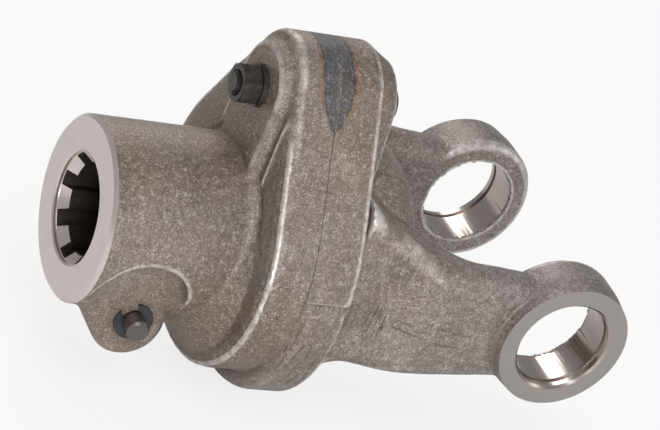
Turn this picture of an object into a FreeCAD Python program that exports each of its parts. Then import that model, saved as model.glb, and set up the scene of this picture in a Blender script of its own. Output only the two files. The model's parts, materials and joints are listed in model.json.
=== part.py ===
"""Shear-bolt yoke of a power take-off shaft.

A forged hub with an eight-groove splined socket carries a bolt lug.  A forged yoke with two
ears for a cross-and-bearing joint sits on the hub's spigot, held there by a ring of balls.
A shear bolt through both lugs locks the two forgings together until it breaks.  A sprung push
pin in the boss under the socket locks the hub on its shaft.

Frame: X runs along the shaft from the socket's mouth to the ears, Y is the axis of the two
cross bores, and Z points up through the shear bolt.  Sizes are in millimetres.
"""

import math
import os

import FreeCAD
import Part

Vector = FreeCAD.Vector

# Socket and tube of the hub
TUBE_RADIUS = 32.25
MOUTH_CHAMFER = 1.3
SPLINE_GROOVES = 8
SPLINE_MAJOR_RADIUS = 19.0
SPLINE_MINOR_RADIUS = 16.0
SPLINE_GROOVE_WIDTH = 6.0
COUNTERBORE_RADIUS = 19.4
COUNTERBORE_DEPTH = 1.6

# The seam between the two forgings, and the flanges on each side of it
SEAM_X = 68.0
FLANGE_RADIUS = 49.5
LUG_HEIGHT = 56.5
LUG_RADIUS = 20.5
HUB_FLANGE_THICKNESS = 16.0
HUB_LUG_THICKNESS = 19.6
YOKE_FLANGE_THICKNESS = 17.6
YOKE_LUG_THICKNESS = 25.4
HUB_RIM_FILLET = 4.5
YOKE_RIM_FILLET = 2.0
LUG_FACE_RADIUS = 15.0
ARM_HALF_WIDTH = 13.5
ARM_SIDE_SLOPE = 3.6
ARM_FACE_FILLET = 2.0
VALLEY_DEPTH = 2.2
VALLEY_GAP = 3.75
VALLEY_FILLET = 1.4
TUBE_FLARE_RADIUS = 7.0
WEB_LENGTH = 15.0
WEB_RADIUS = 39.5
LOBE_RADIUS = 50.5
LOBE_DROP = 7.0
LOBE_FRONT_FILLET = 5.0

# Journal of the hub in the yoke, with its balls and seal
SPIGOT_RADIUS = 29.0
SPIGOT_LENGTH = 26.0
SPIGOT_CLEARANCE = 0.05
RECESS_END_GAP = 2.0
BALL_RADIUS = 4.0
BALL_COUNT = 22
BALL_ROW = 12.0
RACE_CLEARANCE = 0.02
SEAL_ROW = 4.0
SEAL_SECTION_RADIUS = 1.3

# Neck, saddle and arms of the yoke
NECK_RADIUS = 39.5
NECK_FILLET = 5.0
SADDLE_THICKNESS = 22.0
SADDLE_ROUNDING = 20.0
CROSS_X = 170.7
CROSS_BORE_RADIUS = 17.5
EAR_HALF_SPAN = 54.5
EAR_INNER_HALF_GAP = 35.7
EAR_RADIUS = 24.5
EAR_BACK_RADIUS = 25.6
EAR_INNER_ROUNDING = 3.0
EAR_SHOULDER = 7.5
ARM_OUTER_FACE = 50.5
ARM_WAIST_HALF_WIDTH = 20.4
ARM_TAPER = 0.085
ARM_ROOT_FLARE = 9.0
ARM_FLARE_LENGTH = 32.0
ARM_ROOT_INNER = 6.0
ARM_ROOT_OUTER = 34.5
ARM_CORNER_RADIUS = 7.0
ARM_SWELL_LENGTH = 30.0
ARM_INNER_LENGTH = 42.0
ARM_SECTIONS = 11
BORE_CHAMFER = 0.8
CIRCLIP_GROOVE_DEPTH = 0.9
CIRCLIP_GROOVE_WIDTH = 1.75
CIRCLIP_GROOVE_INSET = 2.8

# Shear bolt, nut and spring washer
BOLT_RADIUS = 4.0
BOLT_HOLE_CLEARANCE = 0.2
BOLT_LENGTH = 55.0
BOLT_END_CHAMFER = 1.1
BOLT_HEAD_HEIGHT = 5.3
HEX_ACROSS_FLATS = 13.0
NUT_HEIGHT = 6.8
NUT_COUNTERSINK = 0.6
SPRING_WASHER_RADIUS = 7.4
SPRING_WASHER_THICKNESS = 2.0
SPRING_WASHER_SLIT = 1.6

# Push pin with its boss, spring and clip
PIN_X = 22.2
PIN_DROP = 25.7
PIN_RADIUS = 8.8
PIN_CLEARANCE = 0.1
BOSS_RADIUS = 13.0
BOSS_HALF_WIDTH = 26.0
BOSS_FILLET = 4.0
BOSS_DROP = 28.3
BOSS_MOUTH_GAP = 1.5
BOSS_MOUTH_DROP = 22.5
POCKET_RADIUS = 17.4
POCKET_X = 20.0
POCKET_DROP = 17.0
COLLAR_REACH = 8.0
WAIST_OFFSET = 10.0
WAIST_HALF_LENGTH = 9.5
WAIST_ARC_RADIUS = 20.0
BUTTON_END = 37.0
BUTTON_ROUNDING = 2.0
TAIL_RADIUS = 4.15
TAIL_PROTRUSION = 6.0
TAIL_CHAMFER = 0.8
BORE_END_WALL = 4.5
SPRING_WIRE_RADIUS = 0.5
SPRING_RADIUS = 6.7
SPRING_TURNS = 3
SPRING_ARCS_PER_TURN = 8
SPRING_SEAT_GAP = 0.05
CLIP_RADIUS = 7.0
CLIP_THICKNESS = 0.9
CLIP_GROOVE_RADIUS = 3.2
CLIP_FACE_GAP = 0.05
CLIP_MOUTH = 6.0
CLIP_RELIEF_RADIUS = 4.9
CLIP_RELIEF_WIDTH = 2.4
CLIP_RELIEF_ANGLE = 45.0
CLIP_TURN = -30.0

# Ball filler plug and grease nipple in the rim of the yoke's flange
PLUG_RADIUS = 5.0
PLUG_LENGTH = 8.0
PLUG_HEX = 5.0
PLUG_HEX_DEPTH = 4.5
PLUG_SINK = 1.0
PLUG_ANGLE = -20.0
NIPPLE_ANGLE = -50.0
NIPPLE_THREAD_RADIUS = 3.0
NIPPLE_THREAD_LENGTH = 5.5
NIPPLE_HEX = 7.0
NIPPLE_HEX_HEIGHT = 3.5
NIPPLE_HEIGHT = 10.0
GREASE_HOLE_RADIUS = 1.5
SPOTFACE_RADIUS = 5.5
SPOTFACE_DEPTH = 1.0

# Places that follow from the sizes above
HUB_FACE_X = SEAM_X - HUB_LUG_THICKNESS
HUB_RIM_X = SEAM_X - HUB_FLANGE_THICKNESS
YOKE_PLATE_END_X = SEAM_X + YOKE_FLANGE_THICKNESS
YOKE_LUG_END_X = SEAM_X + YOKE_LUG_THICKNESS
SPIGOT_END_X = SEAM_X + SPIGOT_LENGTH
RECESS_END_X = SPIGOT_END_X + RECESS_END_GAP
VALLEY_RADIUS = TUBE_RADIUS + VALLEY_GAP
RECESS_RADIUS = SPIGOT_RADIUS + SPIGOT_CLEARANCE
SADDLE_X = RECESS_END_X + SADDLE_THICKNESS
BALL_X = SEAM_X + BALL_ROW
BALL_PITCH_RADIUS = SPIGOT_RADIUS + SPIGOT_CLEARANCE / 2
SEAL_X = SEAM_X + SEAL_ROW
ARM_ROOT_X = YOKE_PLATE_END_X + 2 * YOKE_RIM_FILLET
AXIS_X = Vector(1, 0, 0)
AXIS_Y = Vector(0, 1, 0)
AXIS_Z = Vector(0, 0, 1)
OVERCUT = 1.0


def loop(edges):
    """A closed wire from edges that already meet end to end."""
    return Part.Wire(Part.__sortEdges__(edges))


def line(a, b):
    return Part.LineSegment(a, b).toShape()


def arc(a, middle, b):
    return Part.Arc(a, middle, b).toShape()


def polygon(points):
    """A closed wire of straight runs."""
    return Part.makePolygon([*points, points[0]])


def turned(profile, axis_point, axis):
    """The solid made by turning a closed wire once round an axis."""
    return Part.Face(profile).revolve(axis_point, axis, 360)


def rod(radius, start, axis, length):
    return Part.makeCylinder(radius, length, start, axis)


def drop_outline(x, lug_radius, lug_z, base_radius, base_z=0.0):
    """A drop-shaped wire at station x: two circles on the Z axis and their common tangents."""
    reach = lug_z - base_z
    tilt = math.asin((base_radius - lug_radius) / reach)

    def at(radius, centre_z, angle):
        return Vector(x, radius * math.cos(angle), centre_z + radius * math.sin(angle))

    lug_right, lug_left = at(lug_radius, lug_z, tilt), at(lug_radius, lug_z, math.pi - tilt)
    base_right, base_left = at(base_radius, base_z, tilt), at(base_radius, base_z, math.pi - tilt)
    return loop([
        arc(lug_right, at(lug_radius, lug_z, math.pi / 2), lug_left),
        line(lug_left, base_left),
        arc(base_left, at(base_radius, base_z, -math.pi / 2), base_right),
        line(base_right, lug_right),
    ])


def along_x(wire, length):
    return Part.Face(wire).extrude(Vector(length, 0, 0))


def edges_at_x(shape, x):
    """The edges that lie wholly in the plane at station x."""
    return [e for e in shape.Edges
            if abs(e.BoundBox.XMin - x) < 1e-4 and abs(e.BoundBox.XMax - x) < 1e-4]


def flange_outline(x):
    return drop_outline(x, LUG_RADIUS, LUG_HEIGHT, FLANGE_RADIUS)


def hexagon_along_x(x, across_flats, length, centre_y=0.0, centre_z=0.0):
    """A hexagonal prism along X with two corners on the Z axis."""
    corner = across_flats / math.sqrt(3)
    points = [Vector(x, centre_y + corner * math.sin(math.radians(60 * k)),
                     centre_z + corner * math.cos(math.radians(60 * k))) for k in range(6)]
    return along_x(polygon(points), length)


def round_hex_ends(hexagon, x, length, across_flats, ends):
    """Takes the corners off a hexagon's ends with a 30 degree cone at each end that is named."""
    corner = across_flats / math.sqrt(3)
    flat = across_flats / 2 * 0.97
    fall = (corner - flat) * math.tan(math.radians(30))
    near = fall if "start" in ends else 0.0
    far = fall if "end" in ends else 0.0
    near_r = flat if near else corner
    far_r = flat if far else corner
    points = [Vector(x, 0, 0), Vector(x, 0, near_r), Vector(x + near, 0, corner),
              Vector(x + length - far, 0, corner), Vector(x + length, 0, far_r),
              Vector(x + length, 0, 0)]
    kept = [p for i, p in enumerate(points) if i == 0 or p.distanceToPoint(points[i - 1]) > 1e-6]
    cone = turned(polygon(kept), Vector(0, 0, 0), AXIS_X)
    cone.translate(Vector(0, 0, LUG_HEIGHT))
    return hexagon.common(cone)


def splined_socket():
    """The socket's space: minor bore, straight-sided grooves, lead-in cone and counterbore."""
    past = SEAM_X + SPIGOT_LENGTH + OVERCUT
    space = rod(SPLINE_MINOR_RADIUS, Vector(-OVERCUT, 0, 0), AXIS_X, past + OVERCUT)
    rim = rod(SPLINE_MAJOR_RADIUS, Vector(-OVERCUT, 0, 0), AXIS_X, past + OVERCUT)
    for k in range(SPLINE_GROOVES):
        slot = Part.makeBox(past + OVERCUT, SPLINE_GROOVE_WIDTH, 2 * SPLINE_MAJOR_RADIUS,
                            Vector(-OVERCUT, -SPLINE_GROOVE_WIDTH / 2, 0))
        slot.rotate(Vector(0, 0, 0), AXIS_X, 360 / SPLINE_GROOVES * k)
        space = space.fuse(slot.common(rim))
    lead = SPLINE_MAJOR_RADIUS - SPLINE_MINOR_RADIUS
    cone = Part.makeCone(SPLINE_MAJOR_RADIUS, SPLINE_MINOR_RADIUS, lead,
                         Vector(COUNTERBORE_DEPTH, 0, 0), AXIS_X)
    mouth = rod(COUNTERBORE_RADIUS, Vector(-OVERCUT, 0, 0), AXIS_X, OVERCUT + COUNTERBORE_DEPTH)
    edge = Part.makeCone(COUNTERBORE_RADIUS + 0.5, COUNTERBORE_RADIUS, 0.5,
                         Vector(0, 0, 0), AXIS_X)
    return space.multiFuse([cone, mouth, edge])


def tube_flare():
    """Where the tube's flared root starts, and where it meets the valley's wall."""
    meet = HUB_RIM_X + VALLEY_DEPTH
    run = math.sqrt(TUBE_FLARE_RADIUS ** 2 - (TUBE_FLARE_RADIUS - VALLEY_GAP) ** 2)
    return meet - run, meet


def hub_tube():
    """The tube with its chamfered mouth and the concave flare at its root."""
    start, meet = tube_flare()
    centre_r = TUBE_RADIUS + TUBE_FLARE_RADIUS
    turn = math.asin((meet - start) / TUBE_FLARE_RADIUS) / 2
    middle = Vector(start + TUBE_FLARE_RADIUS * math.sin(turn), 0,
                    centre_r - TUBE_FLARE_RADIUS * math.cos(turn))
    profile = loop([
        line(Vector(0, 0, 0), Vector(0, 0, TUBE_RADIUS - MOUTH_CHAMFER)),
        line(Vector(0, 0, TUBE_RADIUS - MOUTH_CHAMFER), Vector(MOUTH_CHAMFER, 0, TUBE_RADIUS)),
        line(Vector(MOUTH_CHAMFER, 0, TUBE_RADIUS), Vector(start, 0, TUBE_RADIUS)),
        arc(Vector(start, 0, TUBE_RADIUS), middle, Vector(meet, 0, VALLEY_RADIUS)),
        line(Vector(meet, 0, VALLEY_RADIUS), Vector(meet + OVERCUT, 0, VALLEY_RADIUS)),
        line(Vector(meet + OVERCUT, 0, VALLEY_RADIUS), Vector(meet + OVERCUT, 0, 0)),
        line(Vector(meet + OVERCUT, 0, 0), Vector(0, 0, 0)),
    ])
    return turned(profile, Vector(0, 0, 0), AXIS_X)


def hub_flange():
    """The drop-shaped flange: a rounded rim, and a round valley between it and the tube."""
    plate = along_x(flange_outline(HUB_RIM_X), HUB_FLANGE_THICKNESS)
    plate = plate.makeFillet(HUB_RIM_FILLET, edges_at_x(plate, HUB_RIM_X))
    plate = plate.cut(rod(VALLEY_RADIUS, Vector(HUB_RIM_X - OVERCUT, 0, 0), AXIS_X,
                          VALLEY_DEPTH + OVERCUT))
    lip = [e for e in edges_at_x(plate, HUB_RIM_X)
           if abs(e.BoundBox.YLength - 2 * VALLEY_RADIUS) < 1e-3]
    return plate.makeFillet(VALLEY_FILLET, lip)


def hub_arm():
    """The raised arm from the tube to the bolt lug, with sloping sides and a flat face."""
    rise = HUB_RIM_X - HUB_FACE_X
    foot = drop_outline(HUB_RIM_X + rise / 2, LUG_FACE_RADIUS + ARM_SIDE_SLOPE, LUG_HEIGHT,
                        ARM_HALF_WIDTH + ARM_SIDE_SLOPE, SPLINE_MAJOR_RADIUS)
    top = drop_outline(HUB_FACE_X, LUG_FACE_RADIUS, LUG_HEIGHT, ARM_HALF_WIDTH, SPLINE_MAJOR_RADIUS)
    arm = Part.makeLoft([foot, top], True, True)
    return arm.makeFillet(ARM_FACE_FILLET, edges_at_x(arm, HUB_FACE_X))


def lower_web():
    """The eccentric cone that carries the tube's underside into the flange."""
    start_radius = TUBE_RADIUS * 0.68
    start = Part.Wire(Part.makeCircle(start_radius, Vector(HUB_RIM_X - WEB_LENGTH, 0,
                                                           start_radius - TUBE_RADIUS + 0.05), AXIS_X))
    end = Part.Wire(Part.makeCircle(WEB_RADIUS, Vector(HUB_RIM_X + 1, 0, TUBE_RADIUS - WEB_RADIUS), AXIS_X))
    return Part.makeLoft([start, end], True, True)


def pin_boss():
    """The rounded boss across the underside of the tube that carries the push pin."""
    y = -BOSS_HALF_WIDTH
    centre = Vector(PIN_X, y, -BOSS_DROP)
    mouth = Vector(BOSS_MOUTH_GAP, y, -BOSS_MOUTH_DROP)
    reach = mouth - centre
    bearing = math.atan2(reach.z, reach.x) % (2 * math.pi)
    tangent = bearing + math.acos(BOSS_RADIUS / reach.Length)

    def at(angle):
        return centre + Vector(BOSS_RADIUS * math.cos(angle), 0, BOSS_RADIUS * math.sin(angle))

    inside = -SPLINE_MAJOR_RADIUS
    side = at(2 * math.pi)
    outline = loop([
        line(mouth, at(tangent)),
        arc(at(tangent), at((tangent + 2 * math.pi) / 2), side),
        line(side, Vector(side.x, y, inside)),
        line(Vector(side.x, y, inside), Vector(BOSS_MOUTH_GAP, y, inside)),
        line(Vector(BOSS_MOUTH_GAP, y, inside), mouth),
    ])
    block = Part.Face(outline).extrude(Vector(0, 2 * BOSS_HALF_WIDTH, 0))
    rims = [e for e in block.Edges if e.BoundBox.YLength < 1e-4 and e.BoundBox.ZMin < -BOSS_DROP]
    return block.makeFillet(BOSS_FILLET, rims)


def pin_bore():
    """The stepped hole for the push pin, open at the button's side and narrow at the clip's."""
    start = Vector(PIN_X, BORE_END_WALL - BOSS_HALF_WIDTH, -PIN_DROP)
    wide = rod(PIN_RADIUS + PIN_CLEARANCE, start, AXIS_Y, 2 * BOSS_HALF_WIDTH)
    narrow = rod(TAIL_RADIUS + PIN_CLEARANCE, start - AXIS_Y * 2 * BORE_END_WALL, AXIS_Y,
                 3 * BORE_END_WALL)
    return wide.fuse(narrow)


def face_pockets():
    """The round pockets that bring both ends of the boss to a flat face in the tube's side."""
    tools = []
    for side in (1, -1):
        start = Vector(POCKET_X, side * BOSS_HALF_WIDTH, -POCKET_DROP)
        tools.append(rod(POCKET_RADIUS, start, AXIS_Y * side, TUBE_RADIUS))
    return tools


def hub_spigot():
    return rod(SPIGOT_RADIUS, Vector(SEAM_X - OVERCUT, 0, 0), AXIS_X, SPIGOT_LENGTH + OVERCUT)


def race():
    """The ring-shaped space of the balls' track, half in the spigot and half in the yoke."""
    return Part.makeTorus(BALL_PITCH_RADIUS, BALL_RADIUS + RACE_CLEARANCE,
                          Vector(BALL_X, 0, 0), AXIS_X)


def seal_groove():
    depth = 2 * SEAL_SECTION_RADIUS - SPIGOT_CLEARANCE
    outer = rod(SPIGOT_RADIUS + OVERCUT, Vector(SEAL_X - 1.2 * SEAL_SECTION_RADIUS, 0, 0),
                AXIS_X, 2.4 * SEAL_SECTION_RADIUS)
    inner = rod(SPIGOT_RADIUS - depth, Vector(SEAL_X - 1.2 * SEAL_SECTION_RADIUS, 0, 0),
                AXIS_X, 2.4 * SEAL_SECTION_RADIUS)
    return outer.cut(inner)


def bolt_hole():
    return rod(BOLT_RADIUS + BOLT_HOLE_CLEARANCE, Vector(HUB_FACE_X - OVERCUT, 0, LUG_HEIGHT), AXIS_X,
               HUB_LUG_THICKNESS + YOKE_LUG_THICKNESS + 2 * OVERCUT)


def splined_hub():
    blank = hub_flange().multiFuse([hub_tube(), hub_arm(), lower_web(), pin_boss(), hub_spigot()])
    cuts = [splined_socket(), pin_bore(), race(), seal_groove(), bolt_hole(), *face_pockets()]
    return blank.cut(Part.makeCompound(cuts)).removeSplitter()


def yoke_plate():
    """The yoke's drop-shaped flange with the low lobe that balances the lug."""
    plate = along_x(flange_outline(SEAM_X), YOKE_FLANGE_THICKNESS)
    plate = plate.makeFillet(YOKE_RIM_FILLET, edges_at_x(plate, YOKE_PLATE_END_X))
    front, back = LOBE_FRONT_FILLET, YOKE_RIM_FILLET
    front_bend = front * (1 - math.sqrt(0.5))
    back_bend = back * (1 - math.sqrt(0.5))
    r, x0, x1 = LOBE_RADIUS, SEAM_X, YOKE_PLATE_END_X
    profile = loop([
        line(Vector(x0, 0, 0), Vector(x0, 0, r - front)),
        arc(Vector(x0, 0, r - front), Vector(x0 + front_bend, 0, r - front_bend), Vector(x0 + front, 0, r)),
        line(Vector(x0 + front, 0, r), Vector(x1 - back, 0, r)),
        arc(Vector(x1 - back, 0, r), Vector(x1 - back_bend, 0, r - back_bend), Vector(x1, 0, r - back)),
        line(Vector(x1, 0, r - back), Vector(x1, 0, 0)),
        line(Vector(x1, 0, 0), Vector(x0, 0, 0)),
    ])
    lobe = turned(profile, Vector(0, 0, 0), AXIS_X)
    lobe.translate(Vector(0, 0, -LOBE_DROP))
    return plate.fuse(lobe)


def yoke_lug_pad():
    """The thicker pad behind the yoke's lug, tapering to the bolt head's seat."""
    foot = drop_outline(YOKE_PLATE_END_X - YOKE_RIM_FILLET, LUG_RADIUS, LUG_HEIGHT,
                        LUG_RADIUS + 7, LUG_RADIUS)
    top = drop_outline(YOKE_LUG_END_X, LUG_FACE_RADIUS, LUG_HEIGHT, LUG_FACE_RADIUS + 6, LUG_RADIUS)
    return Part.makeLoft([foot, top], True, True)


def yoke_neck():
    """The round neck and the domed saddle between the arms."""
    foot, corner, crown = NECK_FILLET, NECK_RADIUS, SADDLE_ROUNDING
    bend = foot * (1 - math.sqrt(0.5))
    start, end = YOKE_PLATE_END_X, SADDLE_X
    flat = corner - crown
    profile = loop([
        line(Vector(start - OVERCUT, 0, 0), Vector(start - OVERCUT, 0, corner + foot)),
        line(Vector(start - OVERCUT, 0, corner + foot), Vector(start, 0, corner + foot)),
        arc(Vector(start, 0, corner + foot), Vector(start + bend, 0, corner + bend),
            Vector(start + foot, 0, corner)),
        line(Vector(start + foot, 0, corner), Vector(end - crown, 0, corner)),
        arc(Vector(end - crown, 0, corner),
            Vector(end - crown * (1 - math.sqrt(0.5)), 0, flat + crown * math.sqrt(0.5)),
            Vector(end, 0, flat)),
        line(Vector(end, 0, flat), Vector(end, 0, 0)),
        line(Vector(end, 0, 0), Vector(start - OVERCUT, 0, 0)),
    ])
    return turned(profile, Vector(0, 0, 0), AXIS_X)


def eased(value):
    """A smooth step from 0 to 1."""
    t = min(max(value, 0.0), 1.0)
    return t * t * (3 - 2 * t)


def arm_half_width(x):
    """Half the arm's width at station x: a straight taper to the ear and a flare at the root."""
    run = min(max((x - ARM_ROOT_X) / ARM_FLARE_LENGTH, 0.0), 1.0)
    taper = ARM_TAPER * max(CROSS_X - EAR_RADIUS + ARM_CORNER_RADIUS - x, 0.0)
    return ARM_WAIST_HALF_WIDTH + taper + ARM_ROOT_FLARE * (1 - run) ** 2


def arm_section(x, side):
    """The rounded rectangle of an arm at station x."""
    past_root = x - ARM_ROOT_X
    inner_rise = EAR_INNER_HALF_GAP - ARM_ROOT_INNER
    inner = ARM_ROOT_INNER + inner_rise * eased(past_root / ARM_INNER_LENGTH)
    outer = ARM_ROOT_OUTER + (ARM_OUTER_FACE - ARM_ROOT_OUTER) * eased(past_root / ARM_SWELL_LENGTH)
    half = arm_half_width(x)
    r = min(ARM_CORNER_RADIUS, 0.45 * (outer - inner))
    bend = r * (1 - math.sqrt(0.5))

    def at(y, z):
        return Vector(x, side * y, z)

    edges = []
    corners = [(outer, half, -1, -1), (inner, half, 1, -1), (inner, -half, 1, 1), (outer, -half, -1, 1)]
    for k, (y, z, inward_y, inward_z) in enumerate(corners):
        first, last = at(y, z + inward_z * r), at(y + inward_y * r, z)
        if k % 2:
            first, last = last, first
        edges.append(arc(first, at(y + inward_y * bend, z + inward_z * bend), last))
    runs = []
    for k in range(4):
        runs.append(edges[k])
        runs.append(line(edges[k].Vertexes[-1].Point, edges[(k + 1) % 4].Vertexes[0].Point))
    return Part.Wire(runs)


def yoke_arm(side):
    """One arm, lofted from the neck to the ear through rounded sections."""
    reach = CROSS_X - ARM_ROOT_X
    stations = [ARM_ROOT_X + reach * k / (ARM_SECTIONS - 1) for k in range(ARM_SECTIONS)]
    return Part.makeLoft([arm_section(x, side) for x in stations], True, False)


def ear_boss(side):
    """The round boss of one ear, turned about the cross axis."""
    ease = EAR_INNER_ROUNDING
    bend = ease * (1 - math.sqrt(0.5))
    x = CROSS_X
    inner, outer = EAR_INNER_HALF_GAP, EAR_HALF_SPAN
    shoulder = outer - EAR_SHOULDER

    def at(r, y):
        return Vector(x + r, side * y, 0)

    profile = loop([
        line(at(0, inner), at(EAR_BACK_RADIUS - ease, inner)),
        arc(at(EAR_BACK_RADIUS - ease, inner), at(EAR_BACK_RADIUS - bend, inner + bend),
            at(EAR_BACK_RADIUS, inner + ease)),
        line(at(EAR_BACK_RADIUS, inner + ease), at(EAR_BACK_RADIUS, shoulder)),
        line(at(EAR_BACK_RADIUS, shoulder), at(EAR_RADIUS, outer)),
        line(at(EAR_RADIUS, outer), at(0, outer)),
        line(at(0, outer), at(0, inner)),
    ])
    return turned(profile, Vector(x, 0, 0), AXIS_Y)


def cross_bore_space(side):
    """One ear's bearing bore with its chamfer and circlip groove."""
    outward = AXIS_Y * side
    start = Vector(CROSS_X, side * (EAR_INNER_HALF_GAP - 10), 0)
    bore = rod(CROSS_BORE_RADIUS, start, outward, EAR_HALF_SPAN - EAR_INNER_HALF_GAP + 10 + OVERCUT)
    mouth = Vector(CROSS_X, side * (EAR_HALF_SPAN - BORE_CHAMFER), 0)
    chamfer = Part.makeCone(CROSS_BORE_RADIUS, CROSS_BORE_RADIUS + 2 * BORE_CHAMFER, 2 * BORE_CHAMFER,
                            mouth, outward)
    groove_start = EAR_HALF_SPAN - CIRCLIP_GROOVE_INSET - CIRCLIP_GROOVE_WIDTH
    groove = rod(CROSS_BORE_RADIUS + CIRCLIP_GROOVE_DEPTH, Vector(CROSS_X, side * groove_start, 0),
                 outward, CIRCLIP_GROOVE_WIDTH)
    return bore.multiFuse([chamfer, groove])


def rim_point(angle):
    """The unit vector out of the shaft axis at an angle in the YZ plane, 0 along +Y."""
    a = math.radians(angle)
    return Vector(0, math.cos(a), math.sin(a))


def rim_radius(angle):
    """How far the lobe's rim is from the shaft axis at that angle."""
    a = math.radians(angle)
    drop = LOBE_DROP * math.sin(a)
    return -drop + math.sqrt(drop * drop + LOBE_RADIUS ** 2 - LOBE_DROP ** 2)


def filler_hole():
    """The radial hole through which the balls went in, drilled wider at its outer end."""
    out = rim_point(PLUG_ANGLE)
    rim = rim_radius(PLUG_ANGLE)
    seat = rim - PLUG_SINK - PLUG_LENGTH
    narrow = rod(BALL_RADIUS + 4 * RACE_CLEARANCE, Vector(BALL_X, 0, 0) + out * BALL_PITCH_RADIUS, out,
                 rim - BALL_PITCH_RADIUS)
    wide = rod(PLUG_RADIUS, Vector(BALL_X, 0, 0) + out * seat, out, PLUG_LENGTH + PLUG_SINK + OVERCUT)
    return narrow.fuse(wide)


def grease_hole():
    """The nipple's tapped hole, its spot face and the drilling to the spigot."""
    out = rim_point(NIPPLE_ANGLE)
    seat = rim_radius(NIPPLE_ANGLE) - SPOTFACE_DEPTH
    middle = SEAM_X + YOKE_FLANGE_THICKNESS / 2
    drilling = rod(GREASE_HOLE_RADIUS, Vector(middle, 0, 0) + out * (RECESS_RADIUS - OVERCUT), out,
                   seat - RECESS_RADIUS + OVERCUT)
    thread = rod(NIPPLE_THREAD_RADIUS, Vector(middle, 0, 0) + out * (seat - NIPPLE_THREAD_LENGTH),
                 out, NIPPLE_THREAD_LENGTH)
    spot = rod(SPOTFACE_RADIUS, Vector(middle, 0, 0) + out * seat, out, 4 * SPOTFACE_DEPTH)
    return drilling.multiFuse([thread, spot])


def forged_yoke():
    blank = yoke_plate().multiFuse([yoke_lug_pad(), yoke_neck(), yoke_arm(1), yoke_arm(-1),
                                    ear_boss(1), ear_boss(-1)])
    recess = rod(RECESS_RADIUS, Vector(SEAM_X - OVERCUT, 0, 0), AXIS_X, RECESS_END_X - SEAM_X + OVERCUT)
    cuts = [recess, race(), bolt_hole(), filler_hole(), grease_hole(),
            cross_bore_space(1), cross_bore_space(-1)]
    for cut in cuts:
        blank = blank.cut(cut)
    return blank.removeSplitter()


def retaining_balls():
    balls = []
    for k in range(BALL_COUNT):
        centre = Vector(BALL_X, 0, 0) + rim_point(360 / BALL_COUNT * (k + 0.5)) * BALL_PITCH_RADIUS
        balls.append(Part.makeSphere(BALL_RADIUS, centre))
    return Part.makeCompound(balls)


def spigot_seal():
    middle = RECESS_RADIUS - SEAL_SECTION_RADIUS
    return Part.makeTorus(middle, SEAL_SECTION_RADIUS, Vector(SEAL_X, 0, 0), AXIS_X)


def filler_plug():
    """The grub screw that closes the balls' filler hole."""
    out = rim_point(PLUG_ANGLE)
    seat = rim_radius(PLUG_ANGLE) - PLUG_SINK - PLUG_LENGTH
    plug = rod(PLUG_RADIUS, Vector(0, 0, 0), AXIS_X, PLUG_LENGTH)
    socket = hexagon_along_x(PLUG_LENGTH - PLUG_HEX_DEPTH, PLUG_HEX, PLUG_HEX_DEPTH + OVERCUT)
    plug = plug.cut(socket)
    plug.rotate(Vector(0, 0, 0), AXIS_Z, 90)
    plug.rotate(Vector(0, 0, 0), AXIS_X, PLUG_ANGLE)
    plug.translate(Vector(BALL_X, 0, 0) + out * seat)
    return plug


def grease_nipple():
    """The nipple: threaded shank, hexagon and a waisted ball head."""
    seat = rim_radius(NIPPLE_ANGLE) - SPOTFACE_DEPTH
    top = NIPPLE_HEX_HEIGHT + NIPPLE_HEIGHT - 3
    neck_r, head_r = 2.2, 3.1
    stem = turned(polygon([
        Vector(-NIPPLE_THREAD_LENGTH, 0, 0), Vector(-NIPPLE_THREAD_LENGTH, 0, NIPPLE_THREAD_RADIUS - 0.6),
        Vector(-NIPPLE_THREAD_LENGTH + 0.6, 0, NIPPLE_THREAD_RADIUS), Vector(0, 0, NIPPLE_THREAD_RADIUS),
        Vector(NIPPLE_HEX_HEIGHT, 0, NIPPLE_THREAD_RADIUS), Vector(NIPPLE_HEX_HEIGHT + 1.2, 0, neck_r),
        Vector(top - 3.0, 0, neck_r), Vector(top - 2.2, 0, head_r), Vector(top - 1.2, 0, head_r),
        Vector(top, 0, neck_r - 0.6), Vector(top, 0, 0)]), Vector(0, 0, 0), AXIS_X)
    nipple = stem.fuse(hexagon_along_x(0, NIPPLE_HEX, NIPPLE_HEX_HEIGHT))
    nipple.rotate(Vector(0, 0, 0), AXIS_Z, 90)
    nipple.rotate(Vector(0, 0, 0), AXIS_X, NIPPLE_ANGLE)
    nipple.translate(Vector(SEAM_X + YOKE_FLANGE_THICKNESS / 2, 0, 0) + rim_point(NIPPLE_ANGLE) * seat)
    return nipple


def shear_bolt():
    """The hexagon-head bolt, its head on the yoke's lug and its end at the nut."""
    seat, end = YOKE_LUG_END_X, YOKE_LUG_END_X - BOLT_LENGTH
    shank = turned(polygon([
        Vector(end, 0, 0), Vector(end, 0, BOLT_RADIUS - BOLT_END_CHAMFER),
        Vector(end + BOLT_END_CHAMFER, 0, BOLT_RADIUS), Vector(seat, 0, BOLT_RADIUS),
        Vector(seat, 0, 0)]), Vector(0, 0, 0), AXIS_X)
    shank.translate(Vector(0, 0, LUG_HEIGHT))
    head = hexagon_along_x(seat, HEX_ACROSS_FLATS, BOLT_HEAD_HEIGHT, 0, LUG_HEIGHT)
    head = round_hex_ends(head, seat, BOLT_HEAD_HEIGHT, HEX_ACROSS_FLATS, ("end",))
    return shank.fuse(head).removeSplitter()


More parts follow.
